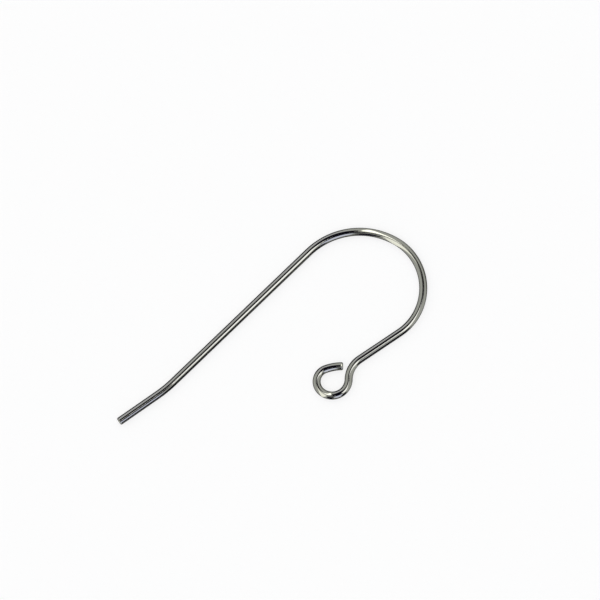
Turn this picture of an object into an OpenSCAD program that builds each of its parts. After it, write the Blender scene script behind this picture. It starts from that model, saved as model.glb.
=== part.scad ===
// Ear wire: one length of round wire, bent flat into a long hook that ends in an eye.
// It lies on its side with its underside on Z = 0 and the origin below the middle of its outline.
// The shank runs along +Y, and the bow, the leg and the eye are on its +X side.
// Each bend is given as on a bending jig: the radius of the round pin that is inside it, and the
// angle that the wire turns about that pin.

/* [Wire] */
// Diameter of the round wire
wire_d = 0.7; // [0.5:0.05:1]
// Radius to which the rims of both cut ends are filed
rim_r = 0.12; // [0.04:0.01:0.2]

/* [Tail] */
// Straight tail, from its cut end to its bend
tail_l = 4.1; // [1:0.1:12]
// Inside radius of the slight bend between tail and shank
tail_bend_r = 11.15; // [2:0.05:30]
// Angle by which the tail leans away from the shank
tail_bend_a = 9; // [2:0.5:40]

/* [Shank] */
// Straight shank, from the tail's bend to the bow
shank_l = 16.4; // [6:0.1:30]

/* [Bow] */
// Inside radius of the bow's wide side, next to the shank
bow_wide_r = 6.1; // [3:0.05:12]
// Angle turned by the bow's wide side
bow_wide_a = 73.5; // [50:0.5:90]
// Inside radius of the bow's tight side, next to the leg
bow_tight_r = 4.35; // [3:0.05:10]
// Angle turned by the bow's tight side
bow_tight_a = 116.5; // [100:0.5:130]

/* [Leg] */
// Straight leg, from the bow down to the neck
leg_l = 4.2; // [1:0.1:12]
// Inside radius of the neck, which turns the wire out before the eye
neck_r = 1.8; // [1:0.05:3]
// Angle turned by the neck
neck_a = 55; // [40:0.5:70]

/* [Eye] */
// Inside radius of the eye's wide half, next to the neck
eye_wide_r = 1.1; // [0.9:0.05:1.8]
// Angle turned by the eye's wide half
eye_wide_a = 131; // [115:0.5:145]
// Inside radius of the eye's tight half
eye_tight_r = 0.8; // [0.5:0.05:1.3]
// Angle turned by the eye's tight half
eye_tight_a = 118; // [100:0.5:130]
// Inside radius of the last bend, which closes the eye
eye_end_r = 4; // [2:0.05:12]
// Clear gap left between the wire's end and the neck
eye_gap = 0.3; // [0.1:0.05:0.8]

/* [Hidden] */
$fn = 96;

wire_r = wire_d / 2;
// Every second stretch is slimmer by this much in radius and laps this far into its neighbours, so
// that all of them join into one solid
slimmer = 0.002;
lap = 0.02;

// Columns of a stretch of wire: straight length, inside radius, and angle turned, positive to the left
LENGTH = 0;
RADIUS = 1;
TURN = 2;

// Columns of a place on the wire's centre line: point, and heading in degrees from +X
POINT = 0;
HEADING = 1;

// The stretches of the hook, from the filed tail end to the end of the leg
hook_route = [
    [tail_l - rim_r, 0, 0],
    [0, tail_bend_r, tail_bend_a],
    [shank_l, 0, 0],
    [0, bow_wide_r, -bow_wide_a],
    [0, bow_tight_r, -bow_tight_a],
    [leg_l, 0, 0]
];
neck = [0, neck_r, neck_a];
// The stretches of the eye, up to its last bend
eye_route = [
    [0, eye_wide_r, -eye_wide_a],
    [0, eye_tight_r, -eye_tight_a]
];
open_route = concat(hook_route, [neck], eye_route);

function ahead(heading) = [cos(heading), sin(heading)];
function left_of(heading) = [-sin(heading), cos(heading)];
// Angle brought into 0 to 360
function wrapped(a) = a - 360 * floor(a / 360);
// Radius of a bend at the wire's centre line
function line_r(stretch) = stretch[RADIUS] + wire_r;
// Centre of the pin that a bend turns about
function pin_centre(place, stretch) =
    place[POINT] + sign(stretch[TURN]) * line_r(stretch) * left_of(place[HEADING]);

// Place where a stretch stops, from the place where it starts
function past(place, stretch) =
    let (heading = place[HEADING] + stretch[TURN])
    stretch[TURN] == 0
        ? [place[POINT] + stretch[LENGTH] * ahead(heading), heading]
        : [pin_centre(place, stretch) - sign(stretch[TURN]) * line_r(stretch) * left_of(heading), heading];

// Place before stretch i, worked out from the tail, whose heading makes the shank run along +Y
function place_before(route, i) =
    i == 0 ? [[0, 0], 90 - tail_bend_a] : past(place_before(route, i - 1), route[i - 1]);

// The last bend turns until the filed rim on its inner side is eye_gap away from the neck. The centre
// of that rim runs on a circle about the last pin, and stops where it is rim_stop from the neck's pin.
eye_end_start = place_before(open_route, len(open_route));
eye_end_pin = pin_centre(eye_end_start, [0, eye_end_r, -1]);
neck_pin = pin_centre(place_before(hook_route, len(hook_route)), neck);
rim_path_r = eye_end_r + rim_r;
rim_stop = neck_r + wire_d + eye_gap + rim_r;
to_neck = neck_pin - eye_end_pin;
pins_apart = norm(to_neck);
stop_cos = (rim_path_r ^ 2 + pins_apart ^ 2 - rim_stop ^ 2) / (2 * rim_path_r * pins_apart);
stop_angle = atan2(to_neck.y, to_neck.x) + acos(max(-1, min(1, stop_cos)));
eye_end_a = wrapped(eye_end_start[HEADING] + 90 - stop_angle);

route = concat(open_route, [[0, eye_end_r, -eye_end_a]]);
tail_end = place_before(route, 0);
eye_end = place_before(route, len(route));

// Centre-line points that can be outermost along X or Y: a stretch's start, and where a bend is
// due +X, +Y, -X or -Y of its pin
function outer_points(place, stretch) =
    stretch[TURN] == 0
        ? [place[POINT]]
        : let (
            side = sign(stretch[TURN]),
            start_angle = place[HEADING] - 90 * side,
            pin = pin_centre(place, stretch)
        )
        [
            place[POINT],
            for (a = [0:90:270])
                if (wrapped(side * (a - start_angle)) < abs(stretch[TURN])) pin + line_r(stretch) * ahead(a)
        ];

// Centres of the filed rim on both sides of a cut end
function rim_centres(place) =
    [for (side = [-1, 1]) place[POINT] + side * (wire_r - rim_r) * left_of(place[HEADING])];

// Round spots that the outline touches: their centres and radii
spots = [
    for (i = [1:len(route) - 1])
        for (p = outer_points(place_before(route, i), route[i])) [p, wire_r],
    for (place = [tail_end, eye_end]) for (p = rim_centres(place)) [p, rim_r]
];
low = [for (k = [0, 1]) min([for (s = spots) s[0][k] - s[1]])];
high = [for (k = [0, 1]) max([for (s = spots) s[0][k] + s[1]])];
middle = (low + high) / 2;

// Puts its children at a place on the wire, with their +X along the heading
module at(place) {
    translate([place[POINT].x, place[POINT].y, 0]) rotate([0, 0, place[HEADING]]) children();
}

// Straight wire along +X
module straight(length, slim) {
    reach = slim ? lap : 0;
    color("silver")
        translate([-reach, 0, 0])
            rotate([0, 90, 0]) cylinder(r = wire_r - (slim ? slimmer : 0), h = length + 2 * reach);
}

// Wire that starts along +X and bends about an upright pin, to the left for a positive turn
module bend(inside_r, turn, slim) {
    side = sign(turn);
    middle_r = inside_r + wire_r;
    reach = slim ? lap / middle_r * 180 / PI : 0;
    color("silver")
        translate([0, side * middle_r, 0])
            rotate([0, 0, (side > 0 ? -90 : 90 + turn) - reach])
                rotate_extrude(angle = abs(turn) + 2 * reach)
                    translate([middle_r, 0]) circle(r = wire_r - (slim ? slimmer : 0));
}

// Cut end of the wire, facing +X, with its rim filed round
module cut_end(slim) {
    end_r = wire_r - (slim ? slimmer : 0);
    color("silver")
        rotate([0, 90, 0])
            rotate_extrude() {
                square([end_r - rim_r, rim_r]);
                if (slim) translate([0, -lap]) square([end_r, lap]);
                translate([end_r - rim_r, 0]) intersection() {
                    circle(r = rim_r);
                    square(rim_r);
                }
            }
}

// The whole wire, from the tail through the bow to the end of the eye
module ear_wire() {
    translate([-middle.x, -middle.y, wire_r]) {
        at([tail_end[POINT], tail_end[HEADING] + 180]) cut_end(slim = true);
        for (i = [0:len(route) - 1])
            at(place_before(route, i))
                if (route[i][TURN] == 0) straight(route[i][LENGTH], slim = i % 2 == 1);
                else bend(route[i][RADIUS], route[i][TURN], slim = i % 2 == 1);
        at(eye_end) cut_end(slim = false);
    }
}

ear_wire();
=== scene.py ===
"""Looks of an ear wire: one length of polished round wire, bent into a hook that ends in an eye.

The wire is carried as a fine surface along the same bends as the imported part, dressed as bright drawn
steel, and laid on a pale floor under soft studio light. Everything is in metres, in the part's frame.
"""

import logging
import math
from dataclasses import dataclass
from enum import Enum, IntEnum

import bpy
import numpy as np
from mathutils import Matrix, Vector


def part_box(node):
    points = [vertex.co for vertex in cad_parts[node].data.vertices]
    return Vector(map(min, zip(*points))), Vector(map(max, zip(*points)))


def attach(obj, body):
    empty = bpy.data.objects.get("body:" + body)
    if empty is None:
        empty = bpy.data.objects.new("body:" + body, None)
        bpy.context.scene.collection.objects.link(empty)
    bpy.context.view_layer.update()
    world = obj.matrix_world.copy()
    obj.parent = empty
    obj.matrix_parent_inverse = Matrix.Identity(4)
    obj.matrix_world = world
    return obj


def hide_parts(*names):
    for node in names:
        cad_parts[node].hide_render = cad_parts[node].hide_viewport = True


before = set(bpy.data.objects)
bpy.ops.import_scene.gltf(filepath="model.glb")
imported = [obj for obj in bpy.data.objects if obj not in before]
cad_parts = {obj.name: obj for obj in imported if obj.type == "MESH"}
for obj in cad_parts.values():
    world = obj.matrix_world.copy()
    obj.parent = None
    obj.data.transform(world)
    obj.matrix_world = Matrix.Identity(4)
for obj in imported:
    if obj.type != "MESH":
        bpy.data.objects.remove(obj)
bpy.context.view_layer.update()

MM = 0.001
DEG = math.pi / 180
UP = (0.0, 0.0, 1.0)
LEVEL = (1.0, 1.0, 0.0)
log = logging.getLogger("ear_wire")

Colour = tuple[float, float, float, float]
Socket = bpy.types.NodeSocket


class Turn(Enum):
    """Which way a stretch of wire goes, seen from above."""

    STRAIGHT = 0
    LEFT = 1
    RIGHT = -1


class ColourMix(IntEnum):
    """Numbers of a Mix node's sockets for colours, because other sockets of it have the same names."""

    SHARE = 0
    FIRST = 6
    SECOND = 7
    RESULT = 2


def linear(colour: str, strength: float = 1.0) -> Colour:
    """Turns an sRGB hex colour into linear light, by the formula of the sRGB standard.

    Args:
        colour: Six hex digits after a hash sign.
        strength: What the light is multiplied by.

    Returns:
        Red, green, blue and an alpha of 1.
    """
    shares = [int(colour[i:i + 2], 16) / 255 for i in (1, 3, 5)]
    light = [s / 12.92 if s <= 0.04045 else ((s + 0.055) / 1.055) ** 2.4 for s in shares]
    return (light[0] * strength, light[1] * strength, light[2] * strength, 1.0)


def empty_tree(owner: bpy.types.Material | bpy.types.World) -> bpy.types.NodeTree:
    """Turns on the nodes of a material or a world.

    Args:
        owner: The material or the world.

    Returns:
        Its node tree, with nothing in it.
    """
    owner.use_nodes = True
    owner.node_tree.nodes.clear()
    return owner.node_tree


def add_node(
    tree: bpy.types.NodeTree,
    kind: str,
    settings: dict[str, object] | None = None,
    inputs: dict[str | int, object] | None = None,
) -> bpy.types.Node:
    """Adds a node with its settings, its values and its links.

    Args:
        tree: Node tree that gets the node.
        kind: Blender's name of the node's type.
        settings: Properties of the node, by name.
        inputs: Values, or sockets to link from, by the input's name or number.

    Returns:
        The new node.
    """
    node = tree.nodes.new(kind)
    for name, value in (settings or {}).items():
        setattr(node, name, value)
    for name, value in (inputs or {}).items():
        if isinstance(value, Socket):
            tree.links.new(value, node.inputs[name])
        else:
            node.inputs[name].default_value = value
    return node


def put_in_scene(name: str, data: bpy.types.ID) -> bpy.types.Object:
    """Puts a mesh, a light or a camera into the scene.

    Args:
        name: Name of the new object.
        data: What the object holds.

    Returns:
        The object.
    """
    made = bpy.data.objects.new(name, data)
    bpy.context.scene.collection.objects.link(made)
    return made


def ahead(heading: np.ndarray | float) -> np.ndarray:
    """Unit vectors in the floor's plane, for headings in radians from +X."""
    return np.stack([np.cos(heading), np.sin(heading)], axis=-1)


@dataclass(frozen=True)
class Stretch:
    """A straight length of wire, or a bend about an upright pin, measured on the centre line."""

    turn: Turn
    length: float
    radius: float = math.inf

    def pin(self, start: np.ndarray, heading: float) -> np.ndarray:
        """Centre of the pin that a bend turns about."""
        return start + self.turn.value * self.radius * ahead(heading + math.pi / 2)

    def walk(self, start: np.ndarray, heading: float, at: np.ndarray) -> tuple[np.ndarray, np.ndarray]:
        """Points and headings along the stretch.

        A straight point is the start plus its distance along the heading. On a bend the heading
        grows by distance over radius, and the point lies one radius from the pin, at a right angle
        to that heading.

        Args:
            start: Point where the stretch starts.
            heading: Heading there, in radians from +X.
            at: Distances along the centre line.

        Returns:
            One row of x and y for each distance, and the headings.
        """
        if self.turn is Turn.STRAIGHT:
            return start + at[:, None] * ahead(heading), np.full(len(at), heading)
        headings = heading + self.turn.value * at / self.radius
        to_pin = self.turn.value * self.radius * ahead(headings + math.pi / 2)
        return self.pin(start, heading) - to_pin, headings

    def stop(self, start: np.ndarray, heading: float) -> tuple[np.ndarray, float]:
        """Point and heading where the stretch stops, from those where it starts."""
        points, headings = self.walk(start, heading, np.array([self.length]))
        return points[0], float(headings[0])


@dataclass(frozen=True)
class Marks:
    """Marks on the wire: how far apart round it, how long along it, and how many finer layers."""

    gap: float
    run: float
    layers: float

    def noise(self, tree: bpy.types.NodeTree, at: Socket, unit: float) -> Socket:
        """Noise whose grains are a gap wide round the wire and a run long along it.

        Its scale is the real length of one unit over the real spacing, so a mark that runs along
        the wire is the same noise drawn out.

        Args:
            tree: The material's node tree.
            at: Place on the straightened wire.
            unit: Real length of one unit of that place.

        Returns:
            How strong the marks are, from 0 to 1.
        """
        scale = (unit / self.gap, unit / self.gap, unit / self.run)
        drawn = add_node(tree, "ShaderNodeMapping", {}, {"Vector": at, "Scale": scale}).outputs[0]
        grain = {"Vector": drawn, "Scale": 1.0, "Detail": self.layers}
        return add_node(tree, "ShaderNodeTexNoise", {}, grain).outputs["Fac"]


@dataclass(frozen=True)
class DrawnSteel:
    """Stainless steel wire, drawn through a die and tumbled to a bright polish.

    Tumbling gives the eye a near mirror, in which the studio shows as dark and light bands. The
    lines that the die leaves along the wire make those bands a little streaky, the tools that bend
    the wire leave faint waves in them, and worn spots blur them slightly.

    Real die lines are about 0.02 mm apart. They are drawn coarser here, or they would not show.
    """

    steel: str = "#DEDEDB"
    worn: str = "#C6C6C3"
    mirror_roughness: float = 0.03
    dull_roughness: float = 0.10
    # The strength at which a worn spot starts to dull the mirror, and the one at which it is fully dull
    dull_from: float = 0.35
    dull_to: float = 0.75
    spots: Marks = Marks(gap=0.5 * MM, run=3.0 * MM, layers=4.0)
    lines: Marks = Marks(gap=0.12 * MM, run=3.0 * MM, layers=3.0)
    line_depth: float = 0.0008 * MM
    waves: Marks = Marks(gap=0.2 * MM, run=0.3 * MM, layers=1.0)
    wave_depth: float = 0.0015 * MM

    def material(self, attribute: str, unit: float) -> bpy.types.Material:
        """Makes the material.

        Args:
            attribute: Name of the attribute with each point's place on the straightened wire.
            unit: Real length of one unit of that attribute.

        Returns:
            The material.
        """
        made = bpy.data.materials.new("drawn_stainless_steel_tumbled_bright")
        tree = empty_tree(made)
        at = add_node(tree, "ShaderNodeAttribute", {"attribute_name": attribute}).outputs["Vector"]
        lines = self.lines.noise(tree, at, unit)
        waves = self.waves.noise(tree, at, unit)
        spots = self.spots.noise(tree, at, unit)
        wavy = add_node(tree, "ShaderNodeBump", {}, {"Height": waves, "Distance": self.wave_depth})
        lined = add_node(
            tree,
            "ShaderNodeBump",
            {},
            {"Height": lines, "Distance": self.line_depth, "Normal": wavy.outputs[0]},
        )
        roughness = add_node(
            tree,
            "ShaderNodeMapRange",
            {},
            {
                "Value": spots,
                "From Min": self.dull_from,
                "From Max": self.dull_to,
                "To Min": self.mirror_roughness,
                "To Max": self.dull_roughness,
            },
        )
        tone = add_node(
            tree,
            "ShaderNodeMix",
            {"data_type": "RGBA"},
            {
                ColourMix.SHARE: lines,
                ColourMix.FIRST: linear(self.steel),
                ColourMix.SECOND: linear(self.worn),
            },
        )
        shader = add_node(
            tree,
            "ShaderNodeBsdfPrincipled",
            {},
            {
                "Base Color": tone.outputs[ColourMix.RESULT],
                "Metallic": 1.0,
                "Roughness": roughness.outputs[0],
                "Normal": lined.outputs[0],
            },
        )
        add_node(tree, "ShaderNodeOutputMaterial", {}, {"Surface": shader.outputs[0]})
        return made


@dataclass
class EarWire:
    """The whole wire, with the sizes that it was bent to: inside radii of its bends, and their angles."""

    wire_d: float = 0.7 * MM
    rim_r: float = 0.12 * MM
    tail_l: float = 4.1 * MM
    tail_bend_r: float = 11.15 * MM
    tail_bend_a: float = 9 * DEG
    shank_l: float = 16.4 * MM
    bow_wide_r: float = 6.1 * MM
    bow_wide_a: float = 73.5 * DEG
    bow_tight_r: float = 4.35 * MM
    bow_tight_a: float = 116.5 * DEG
    leg_l: float = 4.2 * MM
    neck_r: float = 1.8 * MM
    neck_a: float = 55 * DEG
    eye_wide_r: float = 1.1 * MM
    eye_wide_a: float = 131 * DEG
    eye_tight_r: float = 0.8 * MM
    eye_tight_a: float = 118 * DEG
    eye_end_r: float = 4 * MM
    eye_gap: float = 0.3 * MM
    # How finely the surface is drawn: along the wire, round it, on a filed rim and on a cut face
    ring_gap: float = 0.07 * MM
    sides: int = 56
    rim_rings: int = 6
    face_rings: int = 4
    name: str = "polished_ear_wire"
    place_attribute: str = "wire_place"
    finish: DrawnSteel = DrawnSteel()

    @property
    def wire_r(self) -> float:
        """Radius of the wire."""
        return self.wire_d / 2

    def straight(self, length: float) -> Stretch:
        """A straight stretch."""
        return Stretch(Turn.STRAIGHT, length)

    def bend(self, turn: Turn, inside_r: float, angle: float) -> Stretch:
        """A bend, from its inside radius and the angle that it turns."""
        radius = inside_r + self.wire_r
        return Stretch(turn, radius * angle, radius)

    def stretches(self) -> list[Stretch]:
        """All the stretches, from the tail's filed rim to the eye's.

        The last bend turns until the filed rim on its inner side is eye_gap from the neck: that rim's
        centre runs on a circle about the last pin, and stops where it meets a circle about the
        neck's pin.

        Returns:
            The stretches in order.
        """
        hook = [
            self.straight(self.tail_l - self.rim_r),
            self.bend(Turn.LEFT, self.tail_bend_r, self.tail_bend_a),
            self.straight(self.shank_l),
            self.bend(Turn.RIGHT, self.bow_wide_r, self.bow_wide_a),
            self.bend(Turn.RIGHT, self.bow_tight_r, self.bow_tight_a),
            self.straight(self.leg_l),
        ]
        neck = self.bend(Turn.LEFT, self.neck_r, self.neck_a)
        eye = [
            self.bend(Turn.RIGHT, self.eye_wide_r, self.eye_wide_a),
            self.bend(Turn.RIGHT, self.eye_tight_r, self.eye_tight_a),
        ]
        neck_pin = neck.pin(*self.stop(hook))
        start, heading = self.stop([*hook, neck, *eye])
        last_pin = self.bend(Turn.RIGHT, self.eye_end_r, 0.0).pin(start, heading)
        rim_path = self.eye_end_r + self.rim_r
        rim_stop = self.neck_r + self.wire_d + self.eye_gap + self.rim_r
        to_neck = neck_pin - last_pin
        apart = float(np.hypot(*to_neck))
        cosine = (rim_path**2 + apart**2 - rim_stop**2) / (2 * rim_path * apart)
        stop_angle = math.atan2(to_neck[1], to_neck[0]) + math.acos(cosine)
        closing = (heading + math.pi / 2 - stop_angle) % (2 * math.pi)
        return [*hook, neck, *eye, self.bend(Turn.RIGHT, self.eye_end_r, closing)]

    def start(self) -> tuple[np.ndarray, float]:
        """Point and heading at the tail, such that the shank runs along +Y."""
        return np.zeros(2), math.pi / 2 - self.tail_bend_a

    def stop(self, stretches: list[Stretch]) -> tuple[np.ndarray, float]:
        """Follows some stretches from the tail.

        Args:
            stretches: The stretches, in order.

        Returns:
            Point and heading after the last of them.
        """
        place = self.start()
        for stretch in stretches:
            place = stretch.stop(*place)
        return place

    def centre_line(self) -> tuple[np.ndarray, np.ndarray, np.ndarray]:
        """Rows close together along the centre line, from rim to rim.

        Returns:
            Points, headings, and distances from the tail's filed rim.
        """
        place, gone = self.start(), 0.0
        points, headings, along = [], [], []
        for stretch in self.stretches():
            steps = math.ceil(stretch.length / self.ring_gap)
            at = np.linspace(0, stretch.length, steps, endpoint=False)
            some_points, some_headings = stretch.walk(*place, at)
            points.append(some_points)
            headings.append(some_headings)
            along.append(gone + at)
            place, gone = stretch.stop(*place), gone + stretch.length
        points.append(place[0][None])
        headings.append(np.array([place[1]]))
        along.append(np.array([gone]))
        return np.concatenate(points), np.concatenate(headings), np.concatenate(along)

    def end_profile(self) -> tuple[np.ndarray, np.ndarray]:
        """Profile of a cut end: how far each ring stands out, and its radius.

        The flat face has rings of even spacing. The rim is a quarter circle: it stands out by its
        radius times the sine of an angle, and is wider than the face by its radius times the cosine.

        Returns:
            Distances beyond the rim's start and radii, from near the middle of the face outwards.
        """
        face_r = self.wire_r - self.rim_r
        face = np.linspace(0, face_r, self.face_rings + 1)[1:]
        angle = np.linspace(math.pi / 2, 0, self.rim_rings + 1)[1:-1]
        out = np.concatenate([np.full(len(face), self.rim_r), self.rim_r * np.sin(angle)])
        return out, np.concatenate([face, face_r + self.rim_r * np.cos(angle)])

    def rings(self) -> tuple[np.ndarray, np.ndarray, np.ndarray, np.ndarray]:
        """All the rings of points round the wire, with those of both cut ends.

        A cut end's rings lie beyond the first or the last row of the centre line.

        Returns:
            Their centres, unit vectors to the right of the wire's heading, radii, and distances
            along the wire.
        """
        points, headings, along = self.centre_line()
        out, end_radii = self.end_profile()
        row = np.pad(np.arange(len(along)), len(out), mode="edge")
        beyond = np.concatenate([-out, np.zeros(len(along)), out[::-1]])
        radii = np.concatenate([end_radii, np.full(len(along), self.wire_r), end_radii[::-1]])
        centres = points[row] + beyond[:, None] * ahead(headings[row])
        return centres, ahead(headings[row] - math.pi / 2), radii, along[row] + beyond

    def surface(self) -> tuple[np.ndarray, np.ndarray]:
        """Carries the wire's circle along its centre line.

        The point at distance u and angle v is the centre point at u, plus the ring's radius times the
        cosine of v to the right of the heading and times the sine of v upwards. The last two points
        are the middles of the tail's cut face and of the eye's.

        Returns:
            Points, and each point's place on the straightened wire in wire radii.
        """
        centres, right, radii, along = self.rings()
        v = np.linspace(0, 2 * math.pi, self.sides, endpoint=False)
        across = radii[:, None] * np.cos(v)
        height = radii[:, None] * np.sin(v)
        flat = centres[:, None] + across[:, :, None] * right[:, None]
        bent = np.concatenate([flat, height[:, :, None]], axis=2)
        straight = np.stack([across, height, np.broadcast_to(along[:, None], across.shape)], axis=2)
        bent_middles, straight_middles = np.zeros((2, 3)), np.zeros((2, 3))
        bent_middles[:, :2] = centres[[0, -1]]
        straight_middles[:, 2] = along[[0, -1]]
        points = np.concatenate([bent.reshape(-1, 3), bent_middles])
        return points, np.concatenate([straight.reshape(-1, 3), straight_middles]) / self.wire_r

    def faces(self, rings: int) -> list[list[int]]:
        """Joins each ring to the next by quads, and the middles of the cut faces to their rings.

        Args:
            rings: How many rings there are.

        Returns:
            The point numbers of each face, in the order that turns it outwards.
        """
        ring, step = np.meshgrid(np.arange(rings - 1), np.arange(self.sides), indexing="ij")
        here = ring * self.sides + step
        beside = ring * self.sides + (step + 1) % self.sides
        quads = np.stack([here, here + self.sides, beside + self.sides, beside], axis=2).reshape(-1, 4)
        tail = np.arange(self.sides)
        eye = tail + (rings - 1) * self.sides
        middle = np.full(self.sides, rings * self.sides)
        tail_fan = np.stack([middle, tail, np.roll(tail, -1)], axis=1)
        eye_fan = np.stack([middle + 1, np.roll(eye, -1), eye], axis=1)
        return [*quads.tolist(), *tail_fan.tolist(), *eye_fan.tolist()]

    def build(self) -> bpy.types.Object:
        """Makes the wire's mesh where the CAD wire lies.

        Returns:
            The piece.
        """
        points, straight = self.surface()
        low, high = (np.array(corner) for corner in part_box("ear_wire"))
        points += (low + high) / 2 - (points.min(axis=0) + points.max(axis=0)) / 2
        mesh = bpy.data.meshes.new(self.name)
        mesh.from_pydata(points, [], self.faces(len(points) // self.sides))
        mesh.polygons.foreach_set("use_smooth", np.ones(len(mesh.polygons), bool))
        place = mesh.attributes.new(self.place_attribute, "FLOAT_VECTOR", "POINT")
        place.data.foreach_set("vector", straight.astype(np.float32).ravel())
        mesh.update()
        return put_in_scene(self.name, mesh)

    def dress(self, piece: bpy.types.Object) -> None:
        """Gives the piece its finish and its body.

        Args:
            piece: The built wire.
        """
        piece.data.materials.append(self.finish.material(self.place_attribute, self.wire_r))
        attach(piece, "root")
        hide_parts("ear_wire")

    def tail_tip(self, piece: bpy.types.Object) -> np.ndarray:
        """Middle of the tail's cut face, seen from above: the last point but one of the built piece."""
        tail_middle, _ = piece.data.vertices[-2:]
        return np.array(tail_middle.co)[:2]


@dataclass(frozen=True)
class Card:
    """A soft-edged studio card, given by where a polished ball seen from above would show it.

    Compass is in degrees anticlockwise from the picture's right. Out is the distance from the ball's
    middle in ball radii: 0 is overhead, 0.71 is level with the floor and 1 is underneath. Deep and
    wide are half sizes away from the middle and across that. Lean turns the card on the spot.
    """

    name: str
    compass: float
    out: float
    deep: float
    wide: float
    colour: str
    strength: float = 1.0
    edge: float = 0.3
    lean: float = 0.0

    def lay_over(self, tree: bpy.types.NodeTree, ball: Socket, under: Socket | Colour) -> Socket:
        """Lays the card over what is already there.

        Args:
            tree: The world's node tree.
            ball: Place on the polished ball.
            under: Colour of what the card covers.

        Returns:
            Colour with the card.
        """
        local = add_node(
            tree,
            "ShaderNodeMapping",
            {"vector_type": "TEXTURE", "name": self.name},
            {
                "Vector": ball,
                "Location": (*(self.out * ahead(self.compass * DEG)), 0.0),
                "Rotation": (0.0, 0.0, (self.compass + self.lean) * DEG),
                "Scale": (self.deep, self.wide, 1.0),
            },
        )
        far = add_node(tree, "ShaderNodeVectorMath", {"operation": "LENGTH"}, {0: local.outputs[0]})
        cover = add_node(
            tree,
            "ShaderNodeMapRange",
            {"interpolation_type": "SMOOTHSTEP"},
            {
                "Value": far.outputs["Value"],
                "From Min": 1 - self.edge,
                "From Max": 1 + self.edge,
                "To Min": 1.0,
                "To Max": 0.0,
            },
        )
        covered = add_node(
            tree,
            "ShaderNodeMix",
            {"data_type": "RGBA"},
            {
                ColourMix.SHARE: cover.outputs[0],
                ColourMix.FIRST: under,
                ColourMix.SECOND: linear(self.colour, self.strength),
            },
        )
        return covered.outputs[ColourMix.RESULT]


@dataclass(frozen=True)
class FrostedAcrylic:
    """White acrylic sheet, frosted by blasting and lit from below.

    The blasted face has no gloss, and the light that comes through it gives the eye an even white,
    on which the wire's shadow is faint. The face alone is a mid grey, because most of the white
    comes from the glow.
    """

    face: str = "#8D8D90"
    glow: float = 0.73

    def material(self) -> bpy.types.Material:
        """Makes the material.

        Returns:
            The material.
        """
        made = bpy.data.materials.new("frosted_white_acrylic_lit_from_below")
        tree = empty_tree(made)
        matt = add_node(tree, "ShaderNodeBsdfDiffuse", {}, {"Color": linear(self.face)})
        lit = add_node(tree, "ShaderNodeEmission", {}, {"Strength": self.glow})
        both = add_node(tree, "ShaderNodeAddShader", {}, {0: matt.outputs[0], 1: lit.outputs[0]})
        add_node(tree, "ShaderNodeOutputMaterial", {}, {"Surface": both.outputs[0]})
        return made


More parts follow.
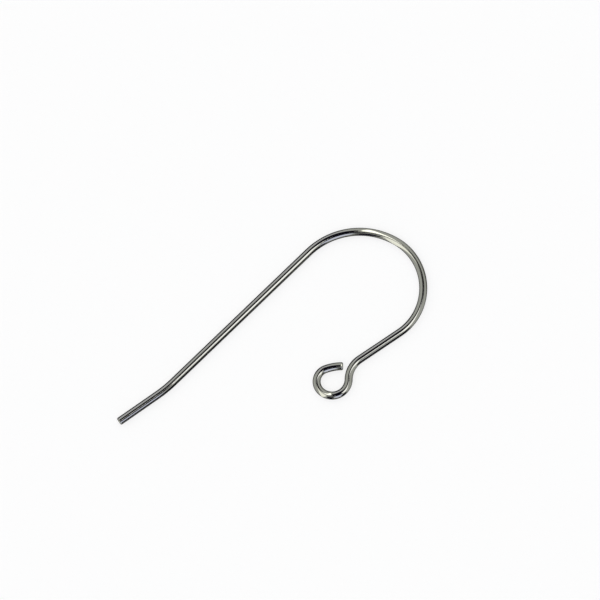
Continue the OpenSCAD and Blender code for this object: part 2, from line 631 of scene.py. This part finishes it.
@dataclass
class Studio:
    """Floor, light and camera: none of it is part of the object.

    The wire mirrors a pale tent with a few lights and dark things in it, and below the floor's level
    the dark that a wire on a floor shows along its edges.
    """

    under_floor: str = "#141416"
    cards: tuple[Card, ...] = (
        Card("tent", 0, 0.0, 0.86, 0.86, "#B2B3AC", edge=0.12),
        Card("far_dim_side", 128, 0.90, 0.20, 0.70, "#1C1C22", edge=0.5),
        Card("right_dim_side", 20, 0.80, 0.15, 0.50, "#62625C", edge=0.6),
        Card("near_dim_side", 285, 0.92, 0.14, 0.35, "#0A0A10", edge=0.4),
        Card("pale_wall", 120, 0.55, 0.18, 0.20, "#C4C4C4", edge=0.5),
        Card("dark_overhead", 112, 0.17, 0.31, 0.14, "#060816", edge=0.15),
        Card("dark_left", 170, 0.10, 0.12, 0.10, "#040404", edge=0.3),
        Card("dark_right", 20, 0.14, 0.15, 0.10, "#040404", edge=0.3),
        Card("dark_front", 290, 0.15, 0.16, 0.14, "#060816", edge=0.2),
        Card("front_gap", 260, 0.05, 0.025, 0.016, "#FFFFFA", 1.5, edge=0.3),
        Card("strip_light", 79, 0.31, 0.28, 0.040, "#FFFFF0", 2.0, edge=0.12, lean=6),
        Card("left_softbox", 239, 0.50, 0.42, 0.10, "#FCFCEE", 1.25, edge=0.12, lean=5),
        Card("front_softbox", 290, 0.47, 0.17, 0.11, "#E0E4F8", 1.0, edge=0.15),
        Card("right_softbox", 319, 0.22, 0.185, 0.050, "#FFFFFA", 1.4, edge=0.12, lean=-4),
        Card("front_flag", 265, 0.61, 0.25, 0.12, "#040618", edge=0.15),
        Card("right_flag", 308, 0.68, 0.19, 0.12, "#060812", edge=0.2),
    )
    floor_half: float = 0.6
    floor_finish: FrostedAcrylic = FrostedAcrylic()
    backdrop: str = "#FDFDFD"
    # The fill light: strength, how wide it looks, its lean from overhead, and the compass it comes from
    fill_strength: float = 1.5
    fill_angle: float = 90 * DEG
    fill_tilt: float = 20 * DEG
    fill_from: float = 135 * DEG
    # The picture: its width, the wire's thickness, the tail's tip from the top left, and the shank's rise
    frame_px: int = 600
    wire_px: float = 8.0
    tail_tip_px: tuple[float, float] = (118.4, 421.3)
    shank_rise: float = 43.8 * DEG
    lens: float = 200.0
    clip: tuple[float, float] = (0.01, 10.0)

    @property
    def camera_turn(self) -> float:
        """Turn of the picture against the frame, which gives the shank its rise in the photo."""
        return math.pi / 2 - self.shank_rise

    def ball_place(self, tree: bpy.types.NodeTree) -> Socket:
        """Place on a polished ball at which it would show the light from each direction.

        The ball's surface faces half way between that direction and straight up, and the place is
        that facing without its height.

        Args:
            tree: The world's node tree.

        Returns:
            Place, with the picture's right and up as x and y.
        """
        ray = add_node(tree, "ShaderNodeTexCoord").outputs["Generated"]
        turn_back = {"Vector": ray, "Rotation": (0.0, 0.0, -self.camera_turn)}
        turned = add_node(tree, "ShaderNodeMapping", {}, turn_back)
        to_middle = {0: turned.outputs[0], 1: UP}
        between = add_node(tree, "ShaderNodeVectorMath", {"operation": "ADD"}, to_middle)
        unit_length = {0: between.outputs[0]}
        facing = add_node(tree, "ShaderNodeVectorMath", {"operation": "NORMALIZE"}, unit_length)
        no_height = {0: facing.outputs[0], 1: LEVEL}
        return add_node(tree, "ShaderNodeVectorMath", {"operation": "MULTIPLY"}, no_height).outputs[0]

    def set_surroundings(self) -> None:
        """Lays the cards over one another round the wire.

        The camera itself sees a plain backdrop instead.
        """
        world = bpy.data.worlds.new("studio")
        bpy.context.scene.world = world
        tree = empty_tree(world)
        ball = self.ball_place(tree)
        colour = linear(self.under_floor)
        for card in self.cards:
            colour = card.lay_over(tree, ball, colour)
        mirrored = add_node(tree, "ShaderNodeBackground", {}, {"Color": colour})
        behind = add_node(tree, "ShaderNodeBackground", {}, {"Color": linear(self.backdrop)})
        seen = add_node(tree, "ShaderNodeLightPath").outputs["Is Camera Ray"]
        both = add_node(
            tree, "ShaderNodeMixShader", {}, {0: seen, 1: mirrored.outputs[0], 2: behind.outputs[0]}
        )
        add_node(tree, "ShaderNodeOutputWorld", {}, {"Surface": both.outputs[0]})

    def hang_fill(self) -> None:
        """Hangs a wide soft light, which whitens the floor and doesn't show in the wire."""
        sun = bpy.data.lights.new("fill", "SUN")
        sun.energy = self.fill_strength
        sun.angle = self.fill_angle
        lamp = put_in_scene("fill", sun)
        lamp.rotation_euler = (0.0, self.fill_tilt, self.camera_turn + self.fill_from)
        lamp.visible_glossy = False

    def lay_floor(self) -> None:
        """Lays the floor under the wire."""
        half = self.floor_half
        corners = [(-half, -half, 0), (half, -half, 0), (half, half, 0), (-half, half, 0)]
        mesh = bpy.data.meshes.new("floor")
        mesh.from_pydata(corners, [], [(0, 1, 2, 3)])
        mesh.materials.append(self.floor_finish.material())
        floor = put_in_scene("floor", mesh)
        floor.visible_glossy = False

    def set_camera(self, wire: EarWire, tail_tip: np.ndarray) -> None:
        """Hangs the camera straight above, so that the tail's tip falls where the photo has it.

        Args:
            wire: The wire, whose thickness gives the picture its scale.
            tail_tip: The tip's place in the frame.
        """
        px = wire.wire_d / self.wire_px
        middle_px = (self.frame_px - 1) / 2
        right = px * (self.tail_tip_px[0] - middle_px) * ahead(self.camera_turn)
        up = px * (middle_px - self.tail_tip_px[1]) * ahead(self.camera_turn + math.pi / 2)
        data = bpy.data.cameras.new("camera")
        data.lens = self.lens
        data.clip_start, data.clip_end = self.clip
        distance = px * self.frame_px * self.lens / data.sensor_width
        camera = put_in_scene("camera", data)
        camera.location = (*(tail_tip - right - up), wire.wire_r + distance)
        camera.rotation_euler = (0.0, 0.0, self.camera_turn)
        bpy.context.scene.camera = camera


def main() -> None:
    """Builds the wire and the studio, and reports each piece."""
    logging.basicConfig(level=logging.INFO)
    bpy.context.scene.view_settings.view_transform = "Standard"
    wire = EarWire()
    piece = wire.build()
    wire.dress(piece)
    log.info("%s: %d points, %d faces", piece.name, len(piece.data.vertices), len(piece.data.polygons))
    studio = Studio()
    studio.set_surroundings()
    studio.hang_fill()
    studio.lay_floor()
    studio.set_camera(wire, wire.tail_tip(piece))


if __name__ == "__main__":
    main()
